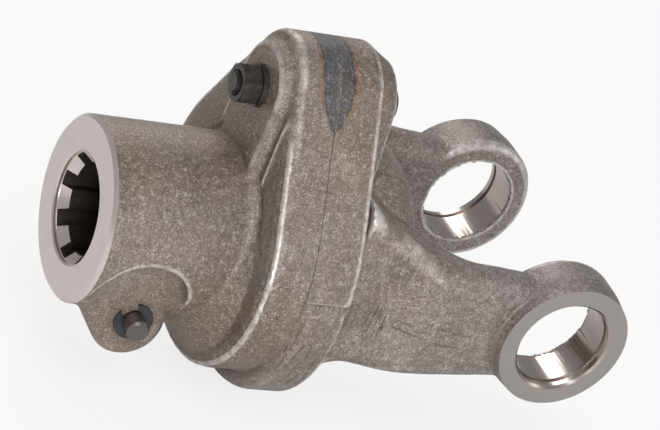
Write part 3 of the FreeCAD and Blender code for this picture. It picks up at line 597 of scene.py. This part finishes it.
def turning_group():
    """Fine rings round an axis: a value that changes with the distance from it."""
    if "Turning marks" in bpy.data.node_groups:
        return bpy.data.node_groups["Turning marks"]
    tree, n, given, out = new_group("Turning marks", [("Distance", "NodeSocketFloat", 0.0),
                                                      ("Pitch", "NodeSocketFloat", 4000.0)],
                                    [("Value", "NodeSocketFloat")])
    stretched = n.add("ShaderNodeCombineXYZ", {0: given["Distance"]}).outputs[0]
    tree.links.new(n.noise(stretched, given["Pitch"], 3.0, 0.6), out["Value"])
    return tree


def group(n, tree, **values):
    """Places a node group in a material, with its own values."""
    node = n.tree.nodes.new("ShaderNodeGroup")
    node.node_tree = tree
    for key, value in values.items():
        if isinstance(value, bpy.types.NodeSocket):
            n.tree.links.new(value, node.inputs[key])
        else:
            node.inputs[key].default_value = value
    return node.outputs


def new_material(name):
    """A material with one Principled shader."""
    material = bpy.data.materials.new(name)
    material.use_nodes = True
    material.node_tree.nodes.clear()
    n = Nodes(material.node_tree)
    shader = n.add("ShaderNodeBsdfPrincipled")
    out = n.add("ShaderNodeOutputMaterial")
    material.node_tree.links.new(shader.outputs[0], out.inputs[0])
    return material, n, shader


def bump(n, shader, height, strength, distance):
    """Gives a shader the relief of a height value."""
    node = n.add("ShaderNodeBump", {"Height": height, "Strength": strength, "Distance": distance})
    n.tree.links.new(node.outputs[0], shader.inputs["Normal"])


def between(n, value, low, high, soft):
    """A mask that is 1 from low to high, and fades over a soft border outside them."""
    rise = n.step(value, low - soft, low)
    fall = n.step(value, high + soft, high)
    return n.math("MULTIPLY", rise, fall)


def heat_tint(n, colour, x, z):
    """The leaf-shaped temper colours along the seam over the lugs."""
    wander = n.math("MULTIPLY", n.math("SUBTRACT", n.noise(n.place(), 260.0, 2.0), 0.5), 1.6 * MM)
    from_seam = n.math("ABSOLUTE", n.math("ADD", n.math("SUBTRACT", x, SEAM_X), wander))
    rise = n.step(z, BOLT_Z - 1.5 * MM, BOLT_Z + 13 * MM)
    reach = n.math("ADD", n.math("MULTIPLY", n.math("POWER", rise, 0.5), 5.4 * MM), 0.01 * MM)
    across = n.math("DIVIDE", from_seam, reach)
    gate = n.step(z, BOLT_Z - 2.2 * MM, BOLT_Z - 0.5 * MM)
    for inner, outer, soft, tone in TINT_BANDS:
        mask = n.math("MULTIPLY", between(n, across, inner, outer, soft), gate)
        colour = n.mix(mask, colour, rgba(tone), "MULTIPLY")
    return colour


def forging_skin():
    """The forgings' skin: blasted grain, ridges lightened for wear and painted highlight, painted shade in the
    hollows, scars and the heat tint.
    """
    if "forging_skin" in bpy.data.materials:
        return bpy.data.materials["forging_skin"]
    look = bpy.context.scene.forging_look
    material, n, shader = new_material("forging_skin")
    x, y, z = n.parts(n.place())[0:3]
    lean = n.step(n.math("SUBTRACT", x, z), 70 * MM, 130 * MM, 0.0, 0.75)
    skin = group(n, blast_group(), Base=rgba(look.base), Dark=rgba(look.dark), Light=rgba(look.light),
                 Grey=rgba(look.grey), Lean=lean, Grain=look.grain, Contrast=look.contrast)
    proud = n.add("ShaderNodeAttribute", attribute_name="proud").outputs["Fac"]
    edges = group(n, edge_group(), Proud=proud, Start=look.edge_start, End=look.edge_end)
    # Painted shade: the hollows are darkened towards the scale colour.
    colour = n.mix(n.math("MULTIPLY", edges["Hollow"], 0.45), skin["Color"], rgba(look.dark))
    # Ridges lightened towards this colour: part wear, part painted highlight.
    colour = n.mix(n.math("MULTIPLY", edges["Mask"], 0.88), colour, rgba(look.wear_and_highlight))
    side = n.step(n.math("ABSOLUTE", y), 30 * MM, 36 * MM)
    scars = None
    for x_low, x_high, z_low, z_high, crossed in SCAR_ZONES:
        across, along = (x, z) if crossed == "X" else (z, x)
        place = n.math("MULTIPLY", between(n, x, x_low, x_high, 2 * MM),
                       between(n, z, z_low, z_high, MM))
        lines = group(n, scar_group(), Across=across, Along=along)["Mask"]
        lines = n.math("MULTIPLY", n.math("MULTIPLY", lines, place), side)
        scars = lines if scars is None else n.math("MAXIMUM", scars, lines)
    colour = n.mix(n.math("MULTIPLY", scars, 0.55), colour, rgba(look.dark))
    colour = heat_tint(n, colour, x, z)
    n.tree.links.new(colour, shader.inputs["Base Color"])
    n.tree.links.new(n.math("SUBTRACT", skin["Roughness"], n.math("MULTIPLY", edges["Mask"], 0.14)),
                     shader.inputs["Roughness"])
    shader.inputs["Metallic"].default_value = 0.45
    bump(n, shader, n.math("SUBTRACT", skin["Height"], n.math("MULTIPLY", scars, 0.8)), 0.6, 0.4 * MM)
    return material


def turned_steel(name, colour, axis, centre, rough=0.32, metal=0.85, pitch=4000.0, depth=0.12):
    """Machined steel with rings round an axis."""
    if name in bpy.data.materials:
        return bpy.data.materials[name]
    material, n, shader = new_material(name)
    parts = n.parts(n.place())
    pair = {"X": (1, 2), "Y": (0, 2)}[axis]
    across = [n.math("SUBTRACT", parts[k], centre[k]) for k in pair]
    distance = n.math("SQRT", n.math("ADD", n.math("MULTIPLY", across[0], across[0]),
                                     n.math("MULTIPLY", across[1], across[1])))
    marks = group(n, turning_group(), Distance=distance, Pitch=pitch)["Value"]
    mottle = n.noise(n.place(), 120.0, 3.0)
    tone = n.mix(n.step(marks, 0.35, 0.65, 0.0, 0.30), rgba(colour), rgba([c * 0.72 for c in colour]))
    tone = n.mix(n.step(mottle, 0.45, 0.75, 0.0, 0.25), tone, rgba([c * 0.8 for c in colour]))
    n.tree.links.new(tone, shader.inputs["Base Color"])
    n.tree.links.new(n.step(marks, 0.3, 0.7, rough - 0.05, rough + 0.08), shader.inputs["Roughness"])
    shader.inputs["Metallic"].default_value = metal
    bump(n, shader, marks, depth, 0.05 * MM)
    return material


def plain_steel(name, colour, wear_and_highlight, rough, metal, grain=900.0):
    """Small pieces: a fine grain, with the edges lightened towards a second colour, as rubbed wear and painted
    highlight.
    """
    if name in bpy.data.materials:
        return bpy.data.materials[name]
    material, n, shader = new_material(name)
    grains = n.noise(n.place(), grain, 3.0, 0.6)
    point = n.math("SUBTRACT", n.add("ShaderNodeNewGeometry").outputs["Pointiness"], 0.5)
    mask = group(n, edge_group(), Proud=point, Start=0.01, End=0.06)["Mask"]
    tone = n.mix(n.step(grains, 0.5, 0.75, 0.0, 0.5), rgba(colour), rgba(wear_and_highlight))
    # Edges lightened: rubbed wear and painted highlight.
    tone = n.mix(n.math("MULTIPLY", mask, 0.7), tone, rgba(wear_and_highlight))
    n.tree.links.new(tone, shader.inputs["Base Color"])
    n.tree.links.new(n.step(grains, 0.3, 0.7, rough - 0.06, rough + 0.08), shader.inputs["Roughness"])
    shader.inputs["Metallic"].default_value = metal
    bump(n, shader, grains, 0.25, 0.06 * MM)
    return material


def paint_node(node, material):
    """Gives a CAD node one material."""
    mesh = frame["nodes"][node].data
    mesh.materials.clear()
    mesh.materials.append(material)


# ---------------------------------------------------------------- operators

class YOKE_OT_hub(bpy.types.Operator):
    """Makes the hub's forged skin and cuts its machined faces"""

    bl_idname = "yoke.hub"
    bl_label = "Splined hub"

    def execute(self, context):
        cut = context.scene.machined_look
        steel = forging_skin()
        axis = (0, 0, 0)
        face = turned_steel("turned_face", cut.bright, "X", axis)
        lead = turned_steel("turned_lead", cut.bright, "X", axis, 0.28)
        # Painted shade: the socket and the holes are coloured near black for the shade inside them.
        dark = plain_steel("broached_socket", cut.shade, [c * 1.7 for c in cut.shade], 0.42, 0.6)
        hole_shade = plain_steel("drilled_hole", cut.shade, cut.ring, 0.4, 0.7)
        r, over = cut.tube_radius, 6 * MM
        fillers = [
            lathe("fill_tube", [(-over, 0), (-over, r), (1.5 * MM, r), (1.5 * MM, 0)]),
            prism("fill_seam", flange_outline(LUG_R, FLANGE_R), SEAM_X - 3 * MM, SEAM_X + over),
            lathe("fill_bolt", [(WASHER_HIGH.x - 0.01 * MM, 0), (WASHER_HIGH.x - 0.01 * MM, BOLT_FILL_R),
                                (SEAM_X + over, BOLT_FILL_R), (SEAM_X + over, 0)], centre=(0, 0, BOLT_Z)),
            lathe("fill_pin", [(-26 * MM, 0), (-26 * MM, PIN_FILL_R), (26 * MM, PIN_FILL_R), (26 * MM, 0)],
                  "Y", (PIN_X, 0, PIN_Z)),
            lathe("fill_socket", [(2 * MM, 0), (2 * MM, 20 * MM), (HUB_HIGH.x, 20 * MM), (HUB_HIGH.x, 0)]),
        ]
        hub = forge("splined_hub", "splined_hub_forging", fillers, steel, hub_relief)
        spigot = cut.spigot_radius
        chamfer = cut.mouth_chamfer
        far, wide = 12 * MM, 90 * MM
        hollow = lathe("cut_seam", [(SEAM_X, 0), (SEAM_X, wide), (HUB_HIGH.x + far, wide),
                                    (HUB_HIGH.x + far, 0)], material=hole_shade)
        combine(hollow, lathe("keep_spigot", [(SEAM_X - far, 0), (SEAM_X - far, spigot), (HUB_HIGH.x, spigot),
                                              (HUB_HIGH.x, 0)]))
        combine(hub, hollow)
        groove = prism("cut_groove", flange_outline(LUG_R + far, FLANGE_R + far),
                       SEAM_X - 0.25 * MM, SEAM_X + MM, hole_shade)
        combine(groove, prism("keep_flange", flange_outline(LUG_R - 0.3 * MM, FLANGE_R - 0.3 * MM),
                              SEAM_X - MM, SEAM_X + 2 * MM))
        combine(hub, groove)
        rim = lathe("cut_mouth", [(-far, 0), (-far, wide), (chamfer, wide), (chamfer, r + 0.02 * MM),
                                  (0, r - chamfer), (0, 0)], material=face)
        combine(hub, rim)
        end = HUB_HIGH.x + MM
        combine(hub, prism("cut_splines", spline_outline(cut), -MM, end, dark))
        major, minor, depth = cut.spline_major, cut.spline_minor, cut.counterbore
        combine(hub, lathe("cut_lead", [(depth - MM, 0), (depth - MM, major), (depth, major),
                                        (depth + major - minor, minor), (depth + major - minor, 0)],
                           material=lead))
        mouth = major + 0.4 * MM
        combine(hub, lathe("cut_counterbore", [(-MM, 0), (-MM, mouth + 0.5 * MM), (0, mouth + 0.5 * MM),
                                               (0.5 * MM, mouth), (depth, mouth), (depth, 0)],
                           material=lead))
        combine(hub, lathe("cut_bolt", [(HUB_LOW.x, 0), (HUB_LOW.x, BOLT_HOLE_R),
                                        (HUB_HIGH.x, BOLT_HOLE_R), (HUB_HIGH.x, 0)],
                           centre=(0, 0, BOLT_Z), segments=48, material=hole_shade))
        pin_r = (PIN_HIGH.x - PIN_LOW.x) / 2 + 0.1 * MM
        combine(hub, lathe("cut_pin", [(-40 * MM, 0), (-40 * MM, PIN_TIP_HOLE_R), (PIN_SEAT_Y, PIN_TIP_HOLE_R),
                                       (PIN_SEAT_Y, pin_r), (40 * MM, pin_r), (40 * MM, 0)],
                           "Y", (PIN_X, 0, PIN_Z), 72, hole_shade))
        settle(hub, "splined_hub")
        return {"FINISHED"}


class YOKE_OT_yoke(bpy.types.Operator):
    """Makes the yoke's forged skin and cuts its machined faces"""

    bl_idname = "yoke.yoke"
    bl_label = "Yoke"

    def execute(self, context):
        cut = context.scene.machined_look
        steel = forging_skin()
        centre = (CROSS_X, 0, 0)
        ring = turned_steel("faced_ring", cut.ring, "Y", centre, 0.34, 0.9, 3000.0, 0.2)
        bored = turned_steel("bored_steel", cut.bore, "Y", centre, 0.22, 0.95)
        # Painted shade: the holes and the recess are coloured near black for the shade inside them.
        hole_shade = plain_steel("drilled_hole", cut.shade, cut.ring, 0.4, 0.7)
        boss, over = cut.boss_radius, 4 * MM
        recess_r, recess_end = 34 * MM, SEAM_X + 29 * MM
        under_head = BOLT_HIGH.x - BOLT_HEAD_HEIGHT
        fillers = [prism("fill_seam", flange_outline(LUG_R, FLANGE_R), SEAM_X - over, SEAM_X + 2 * MM),
                   lathe("fill_recess", [(SEAM_X - over / 2, 0), (SEAM_X - over / 2, recess_r),
                                         (recess_end, recess_r), (recess_end, 0)]),
                   lathe("fill_bolt", [(SEAM_X, 0), (SEAM_X, BOLT_FILL_R), (under_head, BOLT_FILL_R),
                                       (under_head, 0)], centre=(0, 0, BOLT_Z))]
        for side in (-1, 1):
            low, high = sorted((side * 38.6 * MM, side * (EAR_FACE + over)))
            fillers.append(lathe("fill_ear", [(low, 0), (low, boss), (high, boss), (high, 0)], "Y", centre))
        yoke = forge("yoke", "yoke_forging", fillers, steel, trim_step)
        far, wide = 14 * MM, 90 * MM
        combine(yoke, prism("cut_seam", flange_outline(LUG_R + MM, FLANGE_R + MM), SEAM_X - far, SEAM_X,
                            hole_shade))
        spigot = cut.spigot_radius + 0.05 * MM
        deep = SEAM_X + 28 * MM
        combine(yoke, lathe("cut_recess", [(SEAM_X - MM, 0), (SEAM_X - MM, spigot), (deep, spigot),
                                           (deep, 0)], material=hole_shade))
        combine(yoke, lathe("cut_bolt", [(SEAM_X - MM, 0), (SEAM_X - MM, BOLT_HOLE_R),
                                         (BOLT_HIGH.x, BOLT_HOLE_R), (BOLT_HIGH.x, 0)],
                            centre=(0, 0, BOLT_Z), segments=48,
                            material=hole_shade))
        for side in (-1, 1):
            out = [side * v for v in (EAR_FACE, EAR_FACE + far)]
            combine(yoke, lathe("cut_face", [(out[0], 0), (out[0], wide / 2), (out[1], wide / 2),
                                             (out[1], 0)], "Y", centre, material=ring))
            c, g, depth = 0.8 * MM, EAR_FACE - 4.55 * MM, 0.9 * MM
            profile = [(30 * MM, 0), (30 * MM, CROSS_R), (g, CROSS_R), (g, CROSS_R + depth),
                       (g + 1.75 * MM, CROSS_R + depth), (g + 1.75 * MM, CROSS_R), (EAR_FACE - c, CROSS_R),
                       (EAR_FACE + c, CROSS_R + 2 * c), (EAR_FACE + c, 0)]
            combine(yoke, lathe("cut_bore", [(side * a, b) for a, b in profile], "Y", centre, material=bored))
        settle(yoke, "yoke")
        return {"FINISHED"}


class YOKE_OT_fasteners(bpy.types.Operator):
    """Finishes the shear bolt, its nut and its spring washer"""

    bl_idname = "yoke.fasteners"
    bl_label = "Shear bolt, nut and washer"

    def execute(self, context):
        look = context.scene.fastener_look
        black = plain_steel("black_oxide", look.black, look.rub_and_highlight, 0.30, 0.6)
        for node in ("shear_bolt", "shear_bolt_nut", "lock_washer"):
            paint_node(node, black)
        return {"FINISHED"}


class YOKE_OT_pin(bpy.types.Operator):
    """Finishes the push pin, its clip and its spring"""

    bl_idname = "yoke.pin"
    bl_label = "Push pin"

    def execute(self, context):
        look = context.scene.fastener_look
        paint_node("push_pin", turned_steel("turned_pin", look.pin, "Y", (PIN_X, 0, PIN_Z), 0.34, 0.8))
        blued = plain_steel("blued_clip", look.clip, [c * 2 for c in look.clip], 0.40, 0.6)
        paint_node("push_pin_clip", blued)
        self.spring(plain_steel("spring_wire", look.pin, look.zinc, 0.34, 0.9))
        return {"FINISHED"}

    def spring(self, material):
        """The coil, which the pin's travel presses against the end wall of its bore."""
        coil = new_piece("push_pin_coil", frame["nodes"]["push_pin_spring"].data.copy())
        coil.data.transform(frame["nodes"]["push_pin_spring"].matrix_world)
        coil.data.materials.clear()
        coil.data.materials.append(material)
        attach(coil, "root")
        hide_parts("push_pin_spring")
        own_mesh(coil)


class YOKE_OT_inside(bpy.types.Operator):
    """Finishes the balls, the seal, the filler plug and the grease nipple"""

    bl_idname = "yoke.inside"
    bl_label = "Balls, seal, plug and nipple"

    def execute(self, context):
        look = context.scene.fastener_look
        paint_node("retaining_balls", plain_steel("ball_steel", look.zinc, look.zinc, 0.16, 1.0))
        paint_node("spigot_seal", plain_steel("seal_ring", look.rubber, look.rubber, 0.6, 0.0))
        paint_node("ball_filler_plug", plain_steel("black_oxide", look.black, look.rub_and_highlight, 0.30, 0.6))
        paint_node("grease_nipple", plain_steel("zinc_plate", look.zinc, look.zinc, 0.3, 0.9))
        return {"FINISHED"}


class YOKE_OT_stage(bpy.types.Operator):
    """Sets the floor, the lamps, the world and the camera"""

    bl_idname = "yoke.stage"
    bl_label = "Stage"

    def execute(self, context):
        look = context.scene.stage_look
        self.floor()
        self.world(look.sky)
        middle = (CAD_LOW + CAD_HIGH) / 2
        self.lamp("key_lamp", (-0.25, -0.45, 0.75), 0.55, look.key, middle)
        self.lamp("left_lamp", (-0.34, -0.95, 0.04), 0.34, look.left, middle)
        self.lamp("fill_lamp", (0.75, -0.55, 0.30), 0.50, look.fill, middle)
        self.lamp("rim_lamp", (0.10, 0.75, 0.55), 0.50, look.rim, middle)
        self.camera(look.lens)
        context.scene.view_settings.view_transform = "Standard"
        return {"FINISHED"}

    def floor(self):
        """The white floor that the yoke rests on."""
        size = 6.0
        mesh = bpy.data.meshes.new("floor")
        level = CAD_LOW.z
        corners = [(-size, -size, level), (size, -size, level), (size, size, level), (-size, size, level)]
        mesh.from_pydata(corners, [], [(0, 1, 2, 3)])
        material = bpy.data.materials.new("white_floor")
        material.use_nodes = True
        material.node_tree.nodes.clear()
        n = Nodes(material.node_tree)
        white = (0.9, 0.9, 0.9, 1.0)
        matt = n.add("ShaderNodeBsdfDiffuse", {"Color": white})
        glow = n.add("ShaderNodeEmission", {"Color": (1, 1, 1, 1), "Strength": 1.0})
        seen = n.math("MULTIPLY", n.add("ShaderNodeLightPath").outputs["Is Camera Ray"], 0.8)
        both = n.add("ShaderNodeMixShader", {0: seen, 1: matt.outputs[0], 2: glow.outputs[0]})
        out = n.add("ShaderNodeOutputMaterial")
        material.node_tree.links.new(both.outputs[0], out.inputs[0])
        new_piece("floor", mesh, material)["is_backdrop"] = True

    def world(self, strength):
        """Soft light from all round, with a white backdrop."""
        world = bpy.data.worlds.new("studio")
        world.use_nodes = True
        world.node_tree.nodes.clear()
        n = Nodes(world.node_tree)
        soft = n.add("ShaderNodeBackground", {"Color": (1, 1, 1, 1), "Strength": strength})
        white = n.add("ShaderNodeBackground", {"Color": (1, 1, 1, 1), "Strength": 1.0})
        seen = n.add("ShaderNodeLightPath").outputs["Is Camera Ray"]
        both = n.add("ShaderNodeMixShader", {0: seen, 1: soft.outputs[0], 2: white.outputs[0]})
        out = n.add("ShaderNodeOutputWorld")
        world.node_tree.links.new(both.outputs[0], out.inputs[0])
        bpy.context.scene.world = world

    def lamp(self, name, place, size, power, aim):
        """A square lamp that faces a point."""
        data = bpy.data.lights.new(name, "AREA")
        data.size = size
        data.energy = power
        lamp = bpy.data.objects.new(name, data)
        lamp.location = Vector(place) + aim
        lamp.rotation_mode = "QUATERNION"
        lamp.rotation_quaternion = (aim - lamp.location).to_track_quat("-Z", "Y")
        bpy.context.scene.collection.objects.link(lamp)

    def camera(self, lens):
        """The camera, from above and in front of the socket."""
        data = bpy.data.cameras.new("camera")
        data.lens = lens
        data.sensor_width = 36.0
        camera = bpy.data.objects.new("camera", data)
        forward = Vector(CAMERA_AIM).normalized()
        up = Vector(CAMERA_UP)
        right = forward.cross(up).normalized()
        up = right.cross(forward)
        turn = Matrix((right, up, -forward)).transposed()
        camera.matrix_world = Matrix.Translation(CAMERA_PLACE) @ turn.to_4x4()
        bpy.context.scene.collection.objects.link(camera)
        bpy.context.scene.camera = camera


class YOKE_PT_panel(bpy.types.Panel):
    """Lists the steps that dress the yoke"""

    bl_idname = "YOKE_PT_panel"
    bl_label = "Shear-bolt yoke"
    bl_space_type = "VIEW_3D"
    bl_region_type = "UI"
    bl_category = "Yoke"

    def draw(self, context):
        for operator in OPERATORS:
            self.layout.operator(operator.bl_idname)
        for name in GROUPS:
            look = getattr(context.scene, name)
            box = self.layout.box()
            for key in look.bl_rna.properties.keys():
                if key not in ("rna_type", "name"):
                    box.prop(look, key)


GROUPS = {"forging_look": ForgingLook, "machined_look": MachinedLook, "fastener_look": FastenerLook,
          "stage_look": StageLook}
OPERATORS = (YOKE_OT_stage, YOKE_OT_hub, YOKE_OT_yoke, YOKE_OT_fasteners, YOKE_OT_pin, YOKE_OT_inside)


def register():
    for name, look in GROUPS.items():
        bpy.utils.register_class(look)
        setattr(bpy.types.Scene, name, PointerProperty(type=look))
    for item in (*OPERATORS, YOKE_PT_panel):
        bpy.utils.register_class(item)


def unregister():
    for item in reversed((*OPERATORS, YOKE_PT_panel)):
        bpy.utils.unregister_class(item)
    for name, look in GROUPS.items():
        delattr(bpy.types.Scene, name)
        bpy.utils.unregister_class(look)


def main():
    register()
    bpy.ops.yoke.stage()
    bpy.ops.yoke.hub()
    bpy.ops.yoke.yoke()
    bpy.ops.yoke.fasteners()
    bpy.ops.yoke.pin()
    bpy.ops.yoke.inside()


if __name__ == "__main__":
    main()
